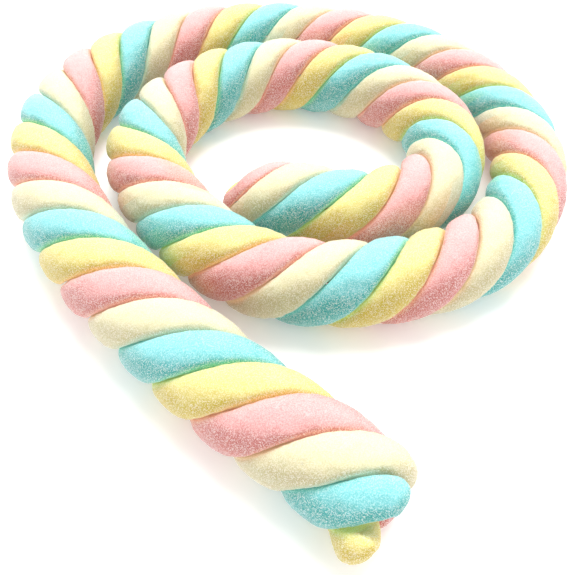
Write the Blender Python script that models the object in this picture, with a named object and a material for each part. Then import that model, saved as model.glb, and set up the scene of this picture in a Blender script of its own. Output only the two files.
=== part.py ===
"""A twisted marshmallow rope: four pastel strands laid round one another, coiled flat on a table.

Each strand is a solid of its own that runs the whole length of the rope. Across the rope it is a
quarter wedge with a puffed outer face, and the wedge turns steadily as it goes along, so the four
strands show as slanting lobes. Units are metres, +Z is up and the rope lies on Z = 0.
"""

import bisect
import math
from collections import namedtuple

import bmesh
import bpy
from mathutils import Vector
from mathutils.geometry import interpolate_bezier

UP = Vector((0.0, 0.0, 1.0))
MILLIMETRE = 0.001

# Driving dimensions of the rope. Its radius swells and thins along its length: (distance, radius)
ROPE_RADII = [
    (0.0, 0.0137), (0.1, 0.0142), (0.2, 0.0136), (0.3, 0.0127),
    (0.4, 0.0123), (0.5, 0.0130), (0.6, 0.0135), (0.7, 0.0133), (0.82, 0.0130),
]
GROOVE_SHARE = 0.20
LOBE_FULLNESS = 2.2
STRAND_GAP = 0.0003
FLAT_DEPTH = 0.0006

# How far the strands run along the rope for one turn round it: (distance, lead). The loose front end is
# wound less tightly, and the first turn says how the strands stand at its very tip
LEADS = [
    (0.0, 0.05658), (0.08, 0.05583), (0.2, 0.05467), (0.35, 0.05310),
    (0.5, 0.05155), (0.65, 0.04901), (0.75, 0.04830), (0.82, 0.05550),
]
FIRST_TURN = math.radians(68.3)

# At the tucked inner end the whole rope rounds off: over what length, to what share of the full radius
INNER_ROUNDING = 0.023
INNER_END_SHARE = 0.20
INNER_DROOP = 0.55

# At the loose front end each strand has a rounded end of its own, and one has slid out onto the table
STRAND_ROUNDING = 0.007
STRAND_END_SHARE = 0.20
STRAND_MIDDLE = 0.56
SLID_STRAND = "yellow_strand"
SLIDE = 0.0021
SLIDE_REACH = 0.014
SLIDE_ANGLE = math.radians(19)

# How finely the solids are cut into faces
RING_STEP = 0.0041
END_RING_STEP = 0.0018
FRONT_RINGS = [0.0, 0.0006, 0.0017, 0.003, 0.0046, 0.0053, 0.0066, 0.0085, 0.011, 0.014]
LOBE_POINTS = 6
CURVE_STEPS = 24

# Finish
ROUGHNESS = 0.85
SHARP_ANGLE = math.radians(60)

# Strand name, colour, its place round the rope in quarter turns, how far behind the tip it starts, and
# which way its rounded end leans round the rope, in degrees
STRANDS = [
    ("yellow_strand", (0.96, 0.88, 0.45), 0, FRONT_RINGS[0], 0),
    ("blue_strand", (0.42, 0.83, 0.86), 1, FRONT_RINGS[2], 20),
    ("cream_strand", (0.96, 0.91, 0.74), 2, FRONT_RINGS[5], 0),
    ("pink_strand", (0.95, 0.62, 0.65), 3, FRONT_RINGS[4], 0),
]

# The rope's middle line seen from above, in millimetres, from the front tip to the tucked inner end
ROUTE_MM = [
    (17.9, -129.4), (11.1, -121.2), (3.7, -114.8), (-1.1, -110.6), (-18.0, -97.6), (-39.5, -77.2),
    (-63.3, -50.2), (-80.4, -19.6), (-84.1, 11.8), (-71.6, 40.7), (-44.5, 61.1), (-9.0, 67.4),
    (25.4, 60.8), (52.4, 43.5), (69.7, 14.2), (69.6, -18.5), (52.4, -45.6), (20.0, -59.4),
    (-15.4, -56.0), (-40.7, -33.6), (-53.2, -4.2), (-40.7, 25.1), (-10.9, 39.7), (23.1, 32.2),
    (44.0, 7.7), (40.8, -18.9), (18.6, -31.2), (-6.5, -26.9), (-26.8, -19.9),
]

# The points of the middle line, how far along it each is, and how far the strands have turned there
Route = namedtuple("Route", "line distances turns")


def clear_scene():
    """Remove whatever the file opened with."""
    for old in list(bpy.data.objects):
        bpy.data.objects.remove(old, do_unlink=True)


def smooth_line(knots):
    """Points along one smooth curve through the route's own points."""
    last = len(knots) - 1
    points = [knots[0]]
    for i in range(last):
        before = knots[max(i - 1, 0)]
        start = knots[i]
        end = knots[i + 1]
        after = knots[min(i + 2, last)]
        span = (end - start).length
        start_slope = (end - before) / ((start - before).length + span)
        end_slope = (after - start) / (span + (after - end).length)
        start_handle = start + start_slope * span / 3
        end_handle = end - end_slope * span / 3
        points += interpolate_bezier(start, start_handle, end_handle, end, CURVE_STEPS)[1:]
    return points


def distances_along(line):
    """How far along the line each of its points is."""
    distances = [0.0]
    for start, end in zip(line, line[1:]):
        distances.append(distances[-1] + (end - start).length)
    return distances


def read_table(table, where):
    """A value read off a short table of (place, value) pairs, by straight lines between them."""
    for (low, low_value), (high, high_value) in zip(table, table[1:]):
        if where <= high:
            share = (where - low) / (high - low)
            return low_value + (high_value - low_value) * share
    return table[-1][1]


def smooth_step(share):
    share = min(max(share, 0.0), 1.0)
    return share * share * (3 - 2 * share)


def turns_along(distances):
    """How far the strands have turned at each point of the line, in radians, added up step by step."""
    turns = [FIRST_TURN]
    for start, end in zip(distances, distances[1:]):
        lead = read_table(LEADS, (start + end) / 2)
        turns.append(turns[-1] + 2 * math.pi * (end - start) / lead)
    return turns


def rope_frame(route, along):
    """The middle of the rope this far from the tip, the direction to its left, and the strands' turn."""
    line, distances, turns = route
    after = min(max(bisect.bisect_right(distances, along), 1), len(line) - 1)
    share = (along - distances[after - 1]) / (distances[after] - distances[after - 1])
    middle = line[after - 1].lerp(line[after], share)
    forward = line[min(after + 1, len(line) - 1)] - line[max(after - 2, 0)]
    left = Vector((-forward.y, forward.x, 0.0)).normalized()
    turn = turns[after - 1] + (turns[after] - turns[after - 1]) * share
    return middle, left, turn


def rounded(place, reach, end_share):
    """The share of the full size that is left this far into a rounded end."""
    rest = 1 - min(max(place / reach, 0.0), 1.0)
    return math.sqrt(1 - rest ** 2 * (1 - end_share ** 2))


def rope_radius(along, length):
    """The rope's outer radius, with its slow swelling and its rounded inner end."""
    return read_table(ROPE_RADII, along) * rounded(length - along, INNER_ROUNDING, INNER_END_SHARE)


def rope_height(along, length):
    """Height of the rope's middle: it lies on the table, and its inner end droops as it rounds off."""
    share = rounded(length - along, INNER_ROUNDING, INNER_END_SHARE)
    return read_table(ROPE_RADII, along) * max(share, INNER_DROOP) - FLAT_DEPTH


def wedge_section(turn, radius):
    """One strand across the rope, as (distance, angle): its inner edge, then its puffed outer face."""
    points = [(0.0, turn)]
    for i in range(LOBE_POINTS):
        share = math.sin(math.pi / 2 * (2 * i / (LOBE_POINTS - 1) - 1))
        dip = 1 - math.sqrt(max(0.0, 1 - abs(share) ** LOBE_FULLNESS))
        distance = radius * (1 - dip * GROOVE_SHARE)
        points.append((distance, turn + share * math.pi / 4))
    return points


def ring_places(length):
    """Distances of the rings from the tip: close together at both ends, even between them."""
    inner_count = round(INNER_ROUNDING / END_RING_STEP)
    start = FRONT_RINGS[-1]
    body_length = length - start - INNER_ROUNDING
    body_count = round(body_length / RING_STEP)
    body = [start + body_length * i / body_count for i in range(1, body_count)]
    inner = [length - INNER_ROUNDING * (1 - i / inner_count) for i in range(inner_count + 1)]
    return FRONT_RINGS + body + inner


def ring_points(name, quarter, start, lean, along, route):
    """One strand's outline across the rope, as points in space."""
    length = route.distances[-1]
    middle, left, rope_turn = rope_frame(route, along)
    turn = rope_turn - quarter * math.pi / 2

    def place(distance, angle):
        return UP * (distance * math.cos(angle)) + left * (distance * math.sin(angle))

    core_offset = STRAND_GAP / math.sqrt(2)
    radius = rope_radius(along, length)
    core = middle + UP * rope_height(along, length) + place(core_offset, turn)
    points = [core + place(distance, angle) for distance, angle in wedge_section(turn, radius - core_offset)]
    own_middle = core + place(radius * STRAND_MIDDLE, turn + math.radians(lean))
    fullness = rounded(along - start, STRAND_ROUNDING, STRAND_END_SHARE)
    points = [own_middle.lerp(point, fullness) for point in points]
    if name == SLID_STRAND:
        slide = place(SLIDE * smooth_step(1 - along / SLIDE_REACH), turn + SLIDE_ANGLE)
        points = [point + slide for point in points]
    return points


def join_rings(mesh, near, far):
    """Triangles between two rings. The two faces that meet the neighbours are split alike, from the core."""
    last = len(near) - 1
    for i in range(len(near)):
        after = (i + 1) % len(near)
        if i == 0:
            mesh.faces.new((near[0], near[1], far[1]))
            mesh.faces.new((near[0], far[1], far[0]))
        elif i == last:
            mesh.faces.new((near[last], near[0], far[last]))
            mesh.faces.new((near[0], far[0], far[last]))
        else:
            mesh.faces.new((near[i], near[after], far[i]))
            mesh.faces.new((near[after], far[after], far[i]))


def cut_flat(mesh):
    """Flatten the strand where it lies on the table, and close the cuts."""
    everything = mesh.verts[:] + mesh.edges[:] + mesh.faces[:]
    bmesh.ops.bisect_plane(mesh, geom=everything, plane_co=(0, 0, 0), plane_no=(0, 0, -1), clear_outer=True)
    rims = [edge for edge in mesh.edges if edge.is_boundary]
    bmesh.ops.holes_fill(mesh, edges=rims, sides=0)


def sweep_strand(name, quarter, start, lean, route):
    """One strand from end to end, closed and flattened underneath."""
    mesh = bmesh.new()
    rings = []
    for along in ring_places(route.distances[-1]):
        if along >= start:
            points = ring_points(name, quarter, start, lean, along, route)
            rings.append([mesh.verts.new(point) for point in points])
    for near, far in zip(rings, rings[1:]):
        join_rings(mesh, near, far)
    mesh.faces.new(rings[0])
    mesh.faces.new(reversed(rings[-1]))
    cut_flat(mesh)
    bmesh.ops.recalc_face_normals(mesh, faces=mesh.faces[:])
    return mesh


def marshmallow(name, colour):
    """Soft, matt sugared foam in one colour."""
    material = bpy.data.materials.new(name)
    material.use_nodes = True
    shader = material.node_tree.nodes["Principled BSDF"]
    shader.inputs["Base Color"].default_value = (*colour, 1.0)
    shader.inputs["Roughness"].default_value = ROUGHNESS
    shader.inputs["Metallic"].default_value = 0.0
    return material


def add_strand(name, colour, quarter, start, lean, route, rope):
    """The strand as a named object of its own colour, held by the rope's empty."""
    mesh = sweep_strand(name, quarter, start, lean, route)
    data = bpy.data.meshes.new(name)
    mesh.to_mesh(data)
    mesh.free()
    data.shade_smooth()
    data.set_sharp_from_angle(angle=SHARP_ANGLE)
    data.materials.append(marshmallow(name, colour))
    strand = bpy.data.objects.new(name, data)
    strand.parent = rope
    bpy.context.scene.collection.objects.link(strand)
    return strand


def centre_over_origin(rope, strands):
    """Move the rope so that its box stands centred over the origin."""
    corners = [vertex.co for strand in strands for vertex in strand.data.vertices]
    for axis in (0, 1):
        places = [corner[axis] for corner in corners]
        rope.location[axis] = -(min(places) + max(places)) / 2


def build():
    clear_scene()
    knots = [Vector((x, y, 0.0)) * MILLIMETRE for x, y in ROUTE_MM]
    line = smooth_line(knots)
    distances = distances_along(line)
    route = Route(line, distances, turns_along(distances))
    rope = bpy.data.objects.new("marshmallow_rope", None)
    bpy.context.scene.collection.objects.link(rope)
    strands = [add_strand(*strand, route, rope) for strand in STRANDS]
    centre_over_origin(rope, strands)
    print(f"rope length {distances[-1] / MILLIMETRE:.0f} mm")
    for strand in strands:
        print(strand.name, len(strand.data.vertices), "vertices")


build()
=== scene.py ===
# %% [markdown]
# # A coiled rope of sugared marshmallow
# Four pastel strands of soft marshmallow foam, yellow, blue, cream and pink, are laid round one another
# like the strands of a rope. The rope lies in a flat spiral on a white table, and its loose front end
# runs out towards the viewer. The whole surface is dusted with fine sugar.
#
# The solids of the four strands are already made elsewhere, and they come in here as a fixed frame.
# Everything below is in metres, in that frame: the table is at Z = 0.

import bisect
import math

import bmesh
import bpy
import numpy as np
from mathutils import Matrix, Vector, noise
from mathutils.geometry import interpolate_bezier


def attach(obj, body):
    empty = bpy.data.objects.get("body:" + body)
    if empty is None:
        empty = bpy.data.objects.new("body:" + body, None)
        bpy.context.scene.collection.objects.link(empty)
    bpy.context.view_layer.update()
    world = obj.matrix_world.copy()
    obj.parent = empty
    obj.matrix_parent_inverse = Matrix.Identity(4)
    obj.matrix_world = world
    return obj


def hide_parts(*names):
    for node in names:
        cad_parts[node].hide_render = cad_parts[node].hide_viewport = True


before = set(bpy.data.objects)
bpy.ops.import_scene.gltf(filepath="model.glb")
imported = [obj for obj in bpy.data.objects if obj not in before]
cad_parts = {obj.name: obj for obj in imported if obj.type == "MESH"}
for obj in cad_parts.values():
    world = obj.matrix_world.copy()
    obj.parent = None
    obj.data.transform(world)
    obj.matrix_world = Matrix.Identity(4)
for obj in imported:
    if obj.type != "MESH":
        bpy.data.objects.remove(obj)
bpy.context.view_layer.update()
scene = bpy.context.scene
print("solids:", sorted(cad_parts))

# %% [markdown]
# ## The route of the rope
# Seen from above, the middle of the rope follows one smooth curve: from the front tip, round the outside
# of the coil once, and on round the inside to the end that is tucked into the middle. A curve object
# could carry the strands, but a curve turns its own section as it likes. The twist has to be exact here,
# so the route is made as a plain list of points along smooth spans, and each outline is placed on it.

# %% Route from the front tip to the tucked inner end
MILLIMETRE = 0.001
UP = Vector((0.0, 0.0, 1.0))
ROUTE_MM = [
    (17.9, -129.4), (11.1, -121.2), (3.7, -114.8), (-1.1, -110.6), (-18.0, -97.6), (-39.5, -77.2),
    (-63.3, -50.2), (-80.4, -19.6), (-84.1, 11.8), (-71.6, 40.7), (-44.5, 61.1), (-9.0, 67.4),
    (25.4, 60.8), (52.4, 43.5), (69.7, 14.2), (69.6, -18.5), (52.4, -45.6), (20.0, -59.4),
    (-15.4, -56.0), (-40.7, -33.6), (-53.2, -4.2), (-40.7, 25.1), (-10.9, 39.7), (23.1, 32.2),
    (44.0, 7.7), (40.8, -18.9), (18.6, -31.2), (-6.5, -26.9), (-26.8, -19.9),
]
CENTRING_MM = Vector((7.25, 28.32, 0.0))
CURVE_STEPS = 24


def smooth_line(knots):
    """Points along one smooth curve through the route's own points."""
    last = len(knots) - 1
    points = [knots[0]]
    for i in range(last):
        before = knots[max(i - 1, 0)]
        start = knots[i]
        end = knots[i + 1]
        after = knots[min(i + 2, last)]
        span = (end - start).length
        start_slope = (end - before) / ((start - before).length + span)
        end_slope = (after - start) / (span + (after - end).length)
        start_handle = start + start_slope * span / 3
        end_handle = end - end_slope * span / 3
        points += interpolate_bezier(start, start_handle, end_handle, end, CURVE_STEPS)[1:]
    return points


route = smooth_line([(Vector((x, y, 0.0)) + CENTRING_MM) * MILLIMETRE for x, y in ROUTE_MM])
distances = [0.0]
for point, following in zip(route, route[1:]):
    distances.append(distances[-1] + (following - point).length)
rope_length = distances[-1]
print(f"the rope is {rope_length / MILLIMETRE:.0f} mm long")


def rope_frame(along):
    """The middle of the rope this far from the tip, and the direction to its left."""
    after = min(max(bisect.bisect_right(distances, along), 1), len(route) - 1)
    share = (along - distances[after - 1]) / (distances[after] - distances[after - 1])
    middle = route[after - 1].lerp(route[after], share)
    forward = route[min(after + 1, len(route) - 1)] - route[max(after - 2, 0)]
    left = Vector((-forward.y, forward.x, 0.0)).normalized()
    return middle, left


# %% [markdown]
# ## How thick the rope is and how it twists
# The rope is about 28 mm thick at its loose end and a little slimmer round the back of the coil. Its
# strands turn once round one another in about 50 mm, a little less tightly at the front. How far they
# have turned is added up step by step along the route, so the twist stays smooth where the lead changes.

# %% Thickness and twist
ROPE_RADII = [
    (0.0, 0.0137), (0.1, 0.0142), (0.2, 0.0136), (0.3, 0.0127),
    (0.4, 0.0123), (0.5, 0.0130), (0.6, 0.0135), (0.7, 0.0133), (0.82, 0.0130),
]
LEADS = [
    (0.0, 0.05658), (0.08, 0.05583), (0.2, 0.05467), (0.35, 0.05310),
    (0.5, 0.05155), (0.65, 0.04901), (0.75, 0.04830), (0.82, 0.05550),
]
FIRST_TURN = math.radians(68.3)
FLAT_DEPTH = 0.0006
INNER_ROUNDING = 0.023
INNER_END_SHARE = 0.20
INNER_DROOP = 0.55


def read_table(table, where):
    """A value read off a short table of (place, value) pairs, by straight lines between them."""
    for (low, low_value), (high, high_value) in zip(table, table[1:]):
        if where <= high:
            share = (where - low) / (high - low)
            return low_value + (high_value - low_value) * share
    return table[-1][1]


def smooth_step(share):
    """A share from 0 to 1, eased at both ends."""
    share = np.clip(share, 0.0, 1.0)
    return share * share * (3 - 2 * share)


def rounded(place, reach, end_share):
    """The share of the full size that is left this far into a rounded end."""
    rest = 1 - min(max(place / reach, 0.0), 1.0)
    return math.sqrt(1 - rest ** 2 * (1 - end_share ** 2))


turns = [FIRST_TURN]
for start, end in zip(distances, distances[1:]):
    lead = read_table(LEADS, (start + end) / 2)
    turns.append(turns[-1] + 2 * math.pi * (end - start) / lead)


def rope_turn(along):
    """How far the strands have turned round the middle line, in radians."""
    return float(np.interp(along, distances, turns))


def rope_radius(along):
    """The rope's outer radius, with its slow swelling and its rounded inner end."""
    return read_table(ROPE_RADII, along) * rounded(rope_length - along, INNER_ROUNDING, INNER_END_SHARE)


def rope_height(along):
    """Height of the rope's middle: it lies on the table, and its inner end droops as it rounds off."""
    share = rounded(rope_length - along, INNER_ROUNDING, INNER_END_SHARE)
    return read_table(ROPE_RADII, along) * max(share, INNER_DROOP) - FLAT_DEPTH


print(f"the strands turn {(rope_turn(rope_length) - FIRST_TURN) / (2 * math.pi):.1f} times")

# %% [markdown]
# ## The outline of one strand
# Cut across, the rope is four wedges with puffed outer faces, and they meet in tight creases. Each
# outline starts at the rope's core, runs up one wall, over the puffed lobe and down the other wall. It
# stays a little inside the rope's full size, which leaves room for the sugar on the skin. The lobe is a
# superellipse: nearly round on top, and steep where it dives into the crease. Soft foam is never even, so
# slow noise moves the creases a little and thins each lobe here and there.

# %% One strand's outline
CREASE_DEPTH = 0.20
LOBE_FULLNESS = 2.2
LOBE_POINTS = 17
WALL_SHARES = (0.86, 0.55, 0.22)
CREASE_GAP = 0.00004
CREASE_WANDER = math.radians(3.5)
LOBE_SWELLING = 0.03
SUGAR_COAT = 0.00012
WANDER_LENGTH = 0.030
LANE_STEP = 7.3
LANE_HEIGHT = 0.5
SWELLING_LANES = 4


def slow_noise(along, lane):
    """A soft wandering between -1 and 1 along the rope, different in each lane."""
    return noise.noise(Vector((along / WANDER_LENGTH, lane * LANE_STEP, LANE_HEIGHT)))


def crease_angle(crease, along):
    """Direction of a crease between two strands. Crease k lies between strands k and k - 1."""
    even = rope_turn(along) - crease * math.pi / 2 + math.pi / 4
    fade = smooth_step(along / WANDER_LENGTH) * smooth_step((rope_length - along) / WANDER_LENGTH)
    return even + CREASE_WANDER * fade * slow_noise(along, crease % 4)


def strand_outline(quarter, along, radius):
    """(distance, angle, how far across) of each point round one strand, starting at its core."""
    high = crease_angle(quarter, along)
    low = crease_angle(quarter + 1, along)
    middle = (high + low) / 2
    half = (high - low) / 2
    swelling = (1 + slow_noise(along, quarter + SWELLING_LANES)) / 2
    full = radius * (1 - LOBE_SWELLING * swelling) - SUGAR_COAT
    crease = full * (1 - CREASE_DEPTH)
    points = [(CREASE_GAP, middle, 0.0)]
    for share in reversed(WALL_SHARES):
        points.append((crease * share, low + CREASE_GAP / (crease * share), -1.0))
    for i in range(LOBE_POINTS):
        across = math.sin(math.pi / 2 * (2 * i / (LOBE_POINTS - 1) - 1))
        dip = 1 - math.sqrt(max(0.0, 1 - abs(across) ** LOBE_FULLNESS))
        inset = CREASE_GAP / crease
        points.append((full * (1 - dip * CREASE_DEPTH), middle + across * (half - inset), across))
    for share in WALL_SHARES:
        points.append((crease * share, high - CREASE_GAP / (crease * share), 1.0))
    return points


print("points round one strand:", len(strand_outline(0, 0.0, rope_radius(0.0))))

# %% [markdown]
# ## The loose front end
# At the front the four strands end one by one, each with a rounded end of its own. The yellow one has
# slid out along the table and shows as a small blunt cone under the fat end of the blue one. Each outline
# is drawn together towards the strand's own middle to round its end, and the yellow one slides outwards.
# The blue end sags a little over the yellow one, so its own middle leans round the rope.

# %% Strand ends
STRAND_ROUNDING = 0.007
STRAND_END_SHARE = 0.12
STRAND_MIDDLE = 0.56
SLIDE = 0.0021
SLIDE_REACH = 0.014
SLIDE_ANGLE = math.radians(19)
SLID_QUARTER = 0


def outline_in_space(quarter, start, lean, along):
    """One strand's outline across the rope, as points in space, each with how far across it is."""
    middle, left = rope_frame(along)
    radius = rope_radius(along)

    def place(distance, angle):
        return UP * (distance * math.cos(angle)) + left * (distance * math.sin(angle))

    core = middle + UP * rope_height(along)
    turn = rope_turn(along) - quarter * math.pi / 2
    own_middle = core + place(radius * STRAND_MIDDLE, turn + math.radians(lean))
    fullness = rounded(along - start, STRAND_ROUNDING, STRAND_END_SHARE)
    slide = Vector()
    if quarter == SLID_QUARTER:
        slide = place(SLIDE * smooth_step(1 - along / SLIDE_REACH), turn + SLIDE_ANGLE)
    points = []
    for distance, angle, across in strand_outline(quarter, along, radius):
        point = own_middle.lerp(core + place(distance, angle), fullness) + slide
        point.z = max(point.z, 0.0)
        points.append((point, across))
    return points


# %% [markdown]
# ## Sweeping a strand
# A strand is one face, extruded again and again: each time the new end face is copied forward and its
# corners are put on the next outline. That is the extrude tool doing the sweep, so the walls between the
# outlines come by themselves. Subdivision then rounds it, and a displacement with a fine cloud texture
# gives the foam its faint lumps. Two attributes are painted on the way: how far across the lobe a point
# is, which places the painted bounce light and glow in the creases, and how sheltered it is by the next
# turn of the coil, which places painted bounce light where two turns touch. The first one fades out at
# the loose end, where the strands part and no painted crease tint reaches them.

# %% Rings along the rope
RING_STEP = 0.00115
END_RING_STEPS = [0.00015, 0.0003, 0.0004, 0.0005, 0.0006, 0.0007, 0.0008, 0.0009, 0.0010, 0.0011]


def ring_places(start):
    """Distances of a strand's rings from the tip: close together where it rounds off."""
    front = [start]
    for step in END_RING_STEPS:
        front.append(front[-1] + step)
    inner = [rope_length]
    for step in END_RING_STEPS:
        inner.append(inner[-1] - step)
    inner.reverse()
    count = round((inner[0] - front[-1]) / RING_STEP)
    even = [front[-1] + (inner[0] - front[-1]) * i / count for i in range(1, count)]
    return front + even + inner


print("rings along a strand:", len(ring_places(0.0)))

# %% How sheltered each place is
SHELTER_SKIP = 0.045
SHELTER_NEAR = 0.0135
SHELTER_FAR = 0.0215
SAMPLE_STEP = 0.002
sample_alongs = np.arange(0.0, rope_length, SAMPLE_STEP)
sample_middles = np.array([rope_frame(along)[0].xy for along in sample_alongs])


def shelter(points, along):
    """For each point, 1 where the next turn of the coil lies right beside it, falling to 0 away from it."""
    elsewhere = sample_middles[np.abs(sample_alongs - along) > SHELTER_SKIP]
    flat = np.array([point.xy for point in points])
    nearest = np.linalg.norm(flat[:, None] - elsewhere[None], axis=2).min(axis=1)
    return smooth_step((SHELTER_FAR - nearest) / (SHELTER_FAR - SHELTER_NEAR))


# %% Sweep one strand by extruding its end face
CREASE_FADE = 0.006


def sweep_strand(name, quarter, start, lean):
    """The strand's mesh, swept from the front end to the tucked inner end."""
    mesh = bmesh.new()
    across_layer = mesh.verts.layers.float.new("across")
    shelter_layer = mesh.verts.layers.float.new("shelter")
    corners = len(strand_outline(quarter, start, ROPE_RADII[0][1]))
    bmesh.ops.create_circle(mesh, cap_ends=True, segments=corners, radius=MILLIMETRE)
    end_face = mesh.faces[:][0]
    for number, along in enumerate(ring_places(start)):
        if number:
            end_face = bmesh.ops.extrude_discrete_faces(mesh, faces=[end_face])["faces"][0]
        outline = outline_in_space(quarter, start, lean, along)
        sheltered = shelter([point for point, across in outline], along)
        creased = smooth_step((along - start) / CREASE_FADE)
        sheltered = sheltered * smooth_step((rope_length - along) / SHELTER_SKIP)
        for vert, (point, across), beside in zip(end_face.verts, outline, sheltered):
            vert.co = point
            vert[across_layer] = across * creased
            vert[shelter_layer] = beside
    rim = [edge for edge in mesh.edges if edge.is_boundary]
    bmesh.ops.holes_fill(mesh, edges=rim, sides=0)
    bmesh.ops.recalc_face_normals(mesh, faces=mesh.faces[:])
    data = bpy.data.meshes.new(name)
    mesh.to_mesh(data)
    mesh.free()
    data.shade_smooth()
    strand = bpy.data.objects.new(name, data)
    scene.collection.objects.link(strand)
    print(name, len(data.vertices), "points")
    return strand


# %% Sweep all four
# Colour, which quarter of the rope, where it starts and how many degrees its own middle leans
STRANDS = [
    ("yellow", 0, 0.0, 0),
    ("blue", 1, 0.0017, 20),
    ("cream", 2, 0.0053, 0),
    ("pink", 3, 0.0046, 0),
]
strands = {}
for colour, quarter, start, lean in STRANDS:
    strands[colour] = sweep_strand(colour + "_foam", quarter, start, lean)

# %% [markdown]
# ## Rounding and lumps
# One level of subdivision rounds the swept strands. Foam is full of tiny bubbles, so its skin is faintly
# lumpy: a displacement by a cloud texture a couple of millimetres across gives that in real relief, and
# the finest grain is left to the material. The displacement only presses the skin in, so the lumps never
# stand out past the rope's own size.

# %% Round the strands and make them faintly lumpy
LUMP_SIZE = 0.0024
LUMP_HEIGHT = 0.00042
PRESSED_IN = 1.0
lumps = bpy.data.textures.new("foam lumps", "CLOUDS")
lumps.noise_scale = LUMP_SIZE
lumps.noise_depth = 2
for strand in strands.values():
    rounding = strand.modifiers.new("rounding", "SUBSURF")
    rounding.levels = 1
    rounding.render_levels = 1
    lumpy = strand.modifiers.new("lumps", "DISPLACE")
    lumpy.texture = lumps
    lumpy.texture_coords = "LOCAL"
    lumpy.strength = LUMP_HEIGHT
    lumpy.mid_level = PRESSED_IN

# %% [markdown]
# ## Marshmallow
# Marshmallow is matt foam that light soaks into, so the shader scatters light under the surface. Its
# colour isn't even: in the creases each strand is painted with some of its neighbouring strand's colour, as
# painted bounce light, so blue beside yellow turns green and pink beside cream turns salmon. Fine sugar
# makes pale speckles, and slow noise leaves some patches better dusted than others.

# %% Colours
def colour_of(red, green, blue):
    """A colour given as on a screen, 0 to 255, with the screen's own curve undone for the shader."""
    def linear(value):
        share = value / 255
        return share / 12.92 if share <= 0.04045 else ((share + 0.055) / 1.055) ** 2.4
    return (linear(red), linear(green), linear(blue), 1.0)


# Flank colours: the foam's full colour, darkened partly as painted shade on the flanks.
FOAM_AND_FLANK_SHADE = {
    "yellow": colour_of(183, 158, 24),
    "blue": colour_of(34, 149, 143),
    "cream": colour_of(181, 170, 126),
    "pink": colour_of(180, 96, 88),
}
# Top colours: pale with sugar, and partly painted light on the tops.
DUSTED_AND_LIT = {
    "yellow": colour_of(229, 220, 148),
    "blue": colour_of(144, 214, 217),
    "cream": colour_of(227, 221, 184),
    "pink": colour_of(229, 177, 175),
}
# Tints of the neighbouring strands, used as painted bounce light in the creases and where two turns of the
# coil touch.
CREASE_BOUNCE_LIGHT = {
    "yellow": {"high": colour_of(232, 206, 130), "low": colour_of(204, 216, 126)},
    "blue": {"high": colour_of(128, 210, 176), "low": colour_of(104, 198, 194)},
    "cream": {"high": colour_of(200, 214, 188), "low": colour_of(228, 208, 160)},
    "pink": {"high": colour_of(228, 168, 154), "low": colour_of(228, 174, 150)},
}
SUGAR = colour_of(236, 234, 230)


# %% A short way to add a node
def add_node(tree, kind, sockets, **settings):
    """A node with its settings, and with each named socket set to a value or joined to another node."""
    node = tree.nodes.new(kind)
    for setting, value in settings.items():
        setattr(node, setting, value)
    for name, value in sockets.items():
        if isinstance(value, bpy.types.NodeSocket):
            tree.links.new(value, node.inputs[name])
        else:
            node.inputs[name].default_value = value
    return node


def blend_of(tree, share, first, second):
    """Two colours blended: the first where the share is 0, the second where it is 1."""
    sockets = {"Factor": share, "A": first, "B": second}
    return add_node(tree, "ShaderNodeMix", sockets, data_type="RGBA").outputs["Result"]


def ramp_of(tree, value, start, end, low=0.0, high=1.0):
    """A value stretched from the range start to end onto the range low to high, eased at both ends."""
    sockets = {"Value": value, "From Min": start, "From Max": end, "To Min": low, "To Max": high}
    return add_node(tree, "ShaderNodeMapRange", sockets, interpolation_type="SMOOTHSTEP").outputs["Result"]


def noise_of(tree, place, scale, detail):
    """Noise with so many spots to a metre."""
    sockets = {"Vector": place, "Scale": scale, "Detail": detail}
    return add_node(tree, "ShaderNodeTexNoise", sockets).outputs["Fac"]


def sum_of(tree, operation, *values):
    """The result of one sum, such as MULTIPLY, on values in a row."""
    return add_node(tree, "ShaderNodeMath", dict(enumerate(values)), operation=operation).outputs[0]


def painted_on(tree, name):
    """A value painted on the mesh, by its name."""
    return add_node(tree, "ShaderNodeAttribute", {}, attribute_name=name).outputs["Fac"]


# %% [markdown]
# ## Where the colour changes
# Three things steer the colour. What faces up is pale and the flanks keep the full colour: partly sugar
# that settles on what faces up, and partly painted light on the tops and painted shade on the flanks. In
# the creases, mostly on the flanks, and where two turns of the coil touch, the neighbouring strands'
# colours are blended in as painted bounce light, and the deepest line of a crease has a painted glow.
# Finally the fine
# grain goes over everything: pale specks of sugar, and between them pits with the foam's full colour,
# painted shade included.

# %% How the dust and the painted light lie, from flanks to tops
PATCHES_A_METRE = 90.0
PATCH_DETAIL = 3.0
PATCH_STRENGTH = 0.5
DUST_AND_LIGHT_STARTS = 0.6
DUST_AND_LIGHT_FULL = 1.24
LEAST_DUST_AND_LIGHT = 0.2

# %% How far the painted bounce light in the creases reaches up the lobes, and how strong it is
CREASE_START = 0.76
CREASE_STRENGTH = 0.75
CREASE_FLOOR = 0.9
CREASE_GLOW = 0.2
FLANK_FACING = 0.25
TOP_FACING = 0.9
TOP_TINT = 0.15
SEAM_STRENGTH = 0.8

# %% How strong the grain is, where the dust and painted light are thin and where they are thick
GRAINS_A_METRE = 3500.0
GRAIN_DETAIL = 2.0
THIN_DUST_AND_LIGHT = 0.25
GRAIN_IF_THIN = 0.6
GRAIN_IF_THICK = 0.25
PIT_RANGE = (0.52, 0.38)
SPECK_RANGE = (0.50, 0.64)
BUMP_STRENGTH = 0.5
BUMP_HEIGHT = 0.00012


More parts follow.
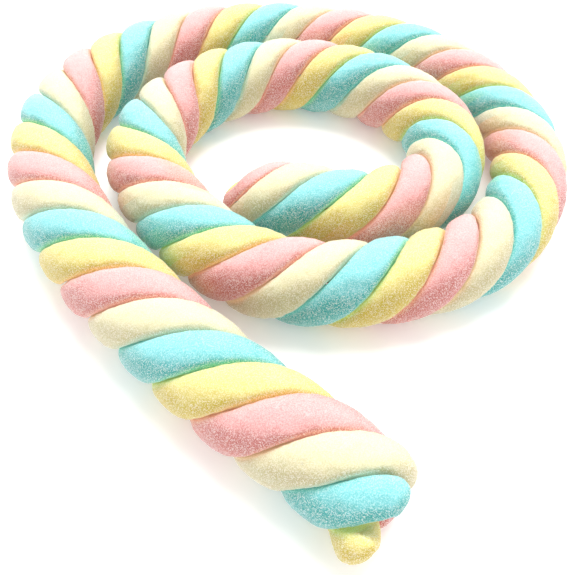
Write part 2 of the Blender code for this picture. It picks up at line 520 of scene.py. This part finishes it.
def marshmallow(colour):
    """Sugared foam in one colour: soft light inside, tops pale with sugar and painted light, flanks in
    painted shade, and painted bounce light and glow in the creases.
    """
    material = bpy.data.materials.new(colour + " marshmallow")
    material.use_nodes = True
    tree = material.node_tree
    place = add_node(tree, "ShaderNodeTexCoord", {}).outputs["Object"]
    normal = add_node(tree, "ShaderNodeNewGeometry", {}).outputs["Normal"]
    facing = add_node(tree, "ShaderNodeSeparateXYZ", {"Vector": normal}).outputs["Z"]
    across = painted_on(tree, "across")
    seam = painted_on(tree, "shelter")

    patches = noise_of(tree, place, PATCHES_A_METRE, PATCH_DETAIL)
    # Painted light and shade with the dust: up-facing skin blends to the pale top colour, partly sugar that
    # settles and partly painted light, and the flanks get the darker colour as painted shade.
    loosened = sum_of(tree, "MULTIPLY_ADD", patches, PATCH_STRENGTH, facing)
    dust_and_light = ramp_of(tree, loosened, DUST_AND_LIGHT_STARTS, DUST_AND_LIGHT_FULL, LEAST_DUST_AND_LIGHT, 1.0)
    skin = blend_of(tree, dust_and_light, FOAM_AND_FLANK_SHADE[colour], DUSTED_AND_LIT[colour])

    # Painted bounce light: near the creases, mostly on the flanks, and where two turns of the coil touch,
    # the colour is blended towards the neighbouring strand's tint.
    side = sum_of(tree, "GREATER_THAN", across, 0.0)
    neighbour_bounce_light = blend_of(tree, side, CREASE_BOUNCE_LIGHT[colour]["low"], CREASE_BOUNCE_LIGHT[colour]["high"])
    width = sum_of(tree, "ABSOLUTE", across)
    crease = ramp_of(tree, width, CREASE_START, 1.0, 0.0, CREASE_STRENGTH)
    flank = ramp_of(tree, facing, FLANK_FACING, TOP_FACING, 1.0, TOP_TINT)
    shaded = sum_of(tree, "MULTIPLY", crease, flank)
    touching = ramp_of(tree, seam, 0.0, 1.0, 0.0, SEAM_STRENGTH)
    bounce_share = sum_of(tree, "MAXIMUM", shaded, touching)
    foam = blend_of(tree, bounce_share, skin, neighbour_bounce_light)
    # Painted glow: the deepest line of each crease emits the neighbouring strand's tint.
    glow = ramp_of(tree, width, CREASE_FLOOR, 1.0, 0.0, CREASE_GLOW)

    grain = noise_of(tree, place, GRAINS_A_METRE, GRAIN_DETAIL)
    # The grain is weaker where the pale top colour is strong, on the dusted tops with their painted light.
    grain_share = ramp_of(tree, dust_and_light, THIN_DUST_AND_LIGHT, 1.0, GRAIN_IF_THIN, GRAIN_IF_THICK)
    pitting = sum_of(tree, "MULTIPLY", ramp_of(tree, grain, *PIT_RANGE), grain_share)
    pitted = blend_of(tree, pitting, foam, FOAM_AND_FLANK_SHADE[colour])
    specking = sum_of(tree, "MULTIPLY", ramp_of(tree, grain, *SPECK_RANGE), grain_share)
    sugared = blend_of(tree, specking, pitted, SUGAR)
    relief = {"Height": grain, "Strength": BUMP_STRENGTH, "Distance": BUMP_HEIGHT}
    bump = add_node(tree, "ShaderNodeBump", relief).outputs[0]

    shader = tree.nodes["Principled BSDF"]
    tree.links.new(sugared, shader.inputs["Base Color"])
    tree.links.new(bump, shader.inputs["Normal"])
    # The painted glow of the creases, in the neighbouring strand's tint.
    tree.links.new(neighbour_bounce_light, shader.inputs["Emission Color"])
    tree.links.new(glow, shader.inputs["Emission Strength"])
    shader.inputs["Roughness"].default_value = 0.65
    shader.inputs["Specular IOR Level"].default_value = 0.25
    shader.inputs["Subsurface Weight"].default_value = 0.8
    shader.inputs["Subsurface Radius"].default_value = (1.0, 0.8, 0.7)
    shader.inputs["Subsurface Scale"].default_value = 0.005
    shader.inputs["Sheen Weight"].default_value = 0.2
    shader.inputs["Sheen Roughness"].default_value = 0.5
    return material


for colour, strand in strands.items():
    strand.data.materials.append(marshmallow(colour))
print("finishes:", [material.name for material in bpy.data.materials])

# %% [markdown]
# ## Loose sugar
# The sugar on the surface is real little crystals. One small four-sided crystal is made, and copies of
# it at random sizes and angles are set over the skin of each strand, half sunk in, and joined to one
# mesh. Spots are picked by the area of the faces, so no place is favoured by how finely it happens to be
# meshed. Flanks hold more crystals than tops, slow patches hold more or fewer, and there are none in the
# creases or underneath.

# %% Set crystals over a strand
CRYSTALS = 32000
CRYSTAL_SIZES = (0.00006, 0.00013)
CRYSTAL_SIDES = 4
CRYSTAL_HEIGHT = 1.6
SKIN_EDGE = 0.97
UNDERSIDE = -0.5
BARE_TOP = 1.2
CHANCE_RANGE = (0.2, 0.8)
TINY_AREA = 1e-12
PATCH_LENGTH = 0.006
PATCH_MIDDLE = 0.55
PATCH_CONTRAST = 1.2
PATCH_LEAST = 0.12
FIRST_SEED = 11


def skin_of(strand):
    """The strand's finished skin: its triangles, and how likely each is to hold a crystal."""
    finished = strand.evaluated_get(bpy.context.evaluated_depsgraph_get())
    mesh = finished.to_mesh()
    mesh.calc_loop_triangles()
    corners = np.empty(len(mesh.loop_triangles) * 3, dtype=np.int32)
    mesh.loop_triangles.foreach_get("vertices", corners)
    corners = corners.reshape(-1, 3)
    points = np.empty(len(mesh.vertices) * 3, dtype=np.float32)
    mesh.vertices.foreach_get("co", points)
    across = np.empty(len(mesh.vertices), dtype=np.float32)
    mesh.attributes["across"].data.foreach_get("value", across)
    finished.to_mesh_clear()
    triangles = points.reshape(-1, 3)[corners]
    normals = np.cross(triangles[:, 1] - triangles[:, 0], triangles[:, 2] - triangles[:, 0])
    areas = np.linalg.norm(normals, axis=1)
    height = normals[:, 2] / np.maximum(areas, TINY_AREA)
    chance = areas * (height > UNDERSIDE) * (np.abs(across[corners]).max(axis=1) < SKIN_EDGE)
    chance *= np.clip(BARE_TOP - height, *CHANCE_RANGE)
    return triangles, chance


def one_crystal():
    """Points and triangles of one small crystal, 2 across."""
    mesh = bmesh.new()
    shape = {"segments": CRYSTAL_SIDES, "radius1": 1.0, "radius2": 0.0, "depth": CRYSTAL_HEIGHT}
    bmesh.ops.create_cone(mesh, cap_ends=True, **shape)
    bmesh.ops.triangulate(mesh, faces=mesh.faces[:])
    mesh.verts.index_update()
    points = np.array([vert.co for vert in mesh.verts])
    faces = np.array([[vert.index for vert in face.verts] for face in mesh.faces])
    mesh.free()
    return points, faces


def random_turns(chooser, count):
    """Random rotations, as 3 by 3 arrays, from random quaternions."""
    quaternion = chooser.normal(size=(count, 4))
    w, x, y, z = (quaternion / np.linalg.norm(quaternion, axis=1)[:, None]).T
    rows = [
        [1 - 2 * (y * y + z * z), 2 * (x * y - z * w), 2 * (x * z + y * w)],
        [2 * (x * y + z * w), 1 - 2 * (x * x + z * z), 2 * (y * z - x * w)],
        [2 * (x * z - y * w), 2 * (y * z + x * w), 1 - 2 * (x * x + y * y)],
    ]
    return np.array(rows).transpose(2, 0, 1)


def sugar_on(strand, name, seed):
    """One mesh of crystals joined together, spread over the strand's skin."""
    chooser = np.random.default_rng(seed)
    triangles, chance = skin_of(strand)
    centres = triangles.mean(axis=1) / PATCH_LENGTH
    patches = np.array([noise.noise(Vector(centre)) for centre in centres])
    chance = chance * np.clip(PATCH_MIDDLE + PATCH_CONTRAST * patches, PATCH_LEAST, None)
    picked = chooser.choice(len(triangles), CRYSTALS, p=chance / chance.sum())
    first, second = chooser.random((2, CRYSTALS, 1))
    folded = first + second > 1
    first = np.where(folded, 1 - first, first)
    second = np.where(folded, 1 - second, second)
    chosen = triangles[picked]
    spots = chosen[:, 0] + first * (chosen[:, 1] - chosen[:, 0]) + second * (chosen[:, 2] - chosen[:, 0])
    sizes = chooser.uniform(*CRYSTAL_SIZES, size=(CRYSTALS, 1, 1))
    crystal_points, crystal_faces = one_crystal()
    turned = np.einsum("nij,pj->npi", random_turns(chooser, CRYSTALS), crystal_points)
    points = spots[:, None] + turned * sizes
    faces = crystal_faces[None] + len(crystal_points) * np.arange(CRYSTALS)[:, None, None]
    data = bpy.data.meshes.new(name)
    data.from_pydata(points.reshape(-1, 3), [], faces.reshape(-1, 3))
    sugar = bpy.data.objects.new(name, data)
    scene.collection.objects.link(sugar)
    print(name, len(data.polygons), "faces")
    return sugar


# %% Sugar material and the crystals
SUGAR_ON = {
    "yellow": colour_of(237, 231, 190),
    "blue": colour_of(195, 228, 230),
    "cream": colour_of(235, 231, 212),
    "pink": colour_of(237, 212, 210),
}


def sugar_material(colour):
    """Clear little crystals, which take on some of the foam's colour."""
    material = bpy.data.materials.new(colour + " sugar")
    material.use_nodes = True
    shader = material.node_tree.nodes["Principled BSDF"]
    shader.inputs["Base Color"].default_value = SUGAR_ON[colour]
    shader.inputs["Roughness"].default_value = 0.25
    shader.inputs["Subsurface Weight"].default_value = 0.2
    shader.inputs["Subsurface Scale"].default_value = 0.0005
    return material


sugars = {}
for seed, (colour, strand) in enumerate(strands.items(), FIRST_SEED):
    sugars[colour] = sugar_on(strand, colour + "_sugar", seed)
    sugars[colour].data.materials.append(sugar_material(colour))

# %% Tie every piece to the frame
for colour, strand in strands.items():
    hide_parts(colour + "_strand")
    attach(strand, "root")
    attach(sugars[colour], "root")

# %% [markdown]
# ## Table, light and camera
# The table is plain white and lit a little from below, as tables for product photographs are, and a
# bright even sky lights it from all round. So the open table comes out pure white, and only tight soft
# shadows are left beside the rope. One broad soft light stands behind and above the coil, so the far
# side of every lobe is bright and the near side falls into soft colour.

# %% Table
TABLE_REACH = 3.0
TABLE_DROP = 0.0001
TABLE_GLOW = 0.2
floor_mesh = bmesh.new()
bmesh.ops.create_grid(floor_mesh, x_segments=1, y_segments=1, size=TABLE_REACH)
bmesh.ops.translate(floor_mesh, verts=floor_mesh.verts[:], vec=-TABLE_DROP * UP)
floor_data = bpy.data.meshes.new("table")
floor_mesh.to_mesh(floor_data)
floor_mesh.free()
floor = bpy.data.objects.new("table", floor_data)
scene.collection.objects.link(floor)
paint = bpy.data.materials.new("white table")
paint.use_nodes = True
table_shader = paint.node_tree.nodes["Principled BSDF"]
table_shader.inputs["Base Color"].default_value = (0.98, 0.98, 0.98, 1)
table_shader.inputs["Emission Color"].default_value = (1, 1, 1, 1)
table_shader.inputs["Emission Strength"].default_value = TABLE_GLOW
table_shader.inputs["Roughness"].default_value = 0.9
table_shader.inputs["Specular IOR Level"].default_value = 0.1
floor_data.materials.append(paint)

# %% Light
SKY_STRENGTH = 0.92
WINDOW_PLACE = (0.1, 0.4, 1.0)
WINDOW_SIZE = 0.8
WINDOW_POWER = 13.0
world = bpy.data.worlds.new("pale sky")
world.use_nodes = True
sky = world.node_tree.nodes["Background"]
sky.inputs["Color"].default_value = (1, 1, 1, 1)
sky.inputs["Strength"].default_value = SKY_STRENGTH
scene.world = world


def soft_light(name, place, target, size, power):
    """A round light of this many metres and watts, turned to face the target."""
    lamp = bpy.data.lights.new(name, "AREA")
    lamp.shape = "DISK"
    lamp.size = size
    lamp.energy = power
    holder = bpy.data.objects.new(name, lamp)
    holder.location = place
    direction = Vector(target) - Vector(place)
    holder.rotation_euler = direction.to_track_quat("-Z", "Y").to_euler()
    scene.collection.objects.link(holder)


soft_light("window", WINDOW_PLACE, (0, 0, 0), WINDOW_SIZE, WINDOW_POWER)

# %% Camera
CAMERA_MM = Vector((-7.67, -181.76, 159.1))
CAMERA_PITCH = math.radians(50.68)
FOCAL_PIXELS = 684.18
IMAGE_LONG_SIDE = 575
SENSOR = 36.0
NEAR_LIMIT = 0.005
camera_data = bpy.data.cameras.new("camera")
camera_data.sensor_width = SENSOR
camera_data.lens = FOCAL_PIXELS / IMAGE_LONG_SIDE * SENSOR
camera_data.clip_start = NEAR_LIMIT
camera = bpy.data.objects.new("camera", camera_data)
camera.location = (CAMERA_MM + CENTRING_MM) * MILLIMETRE
camera.rotation_euler = (math.pi / 2 - CAMERA_PITCH, 0, 0)
scene.collection.objects.link(camera)
scene.camera = camera
scene.view_settings.view_transform = "Standard"

# %% Finish
print("finished")
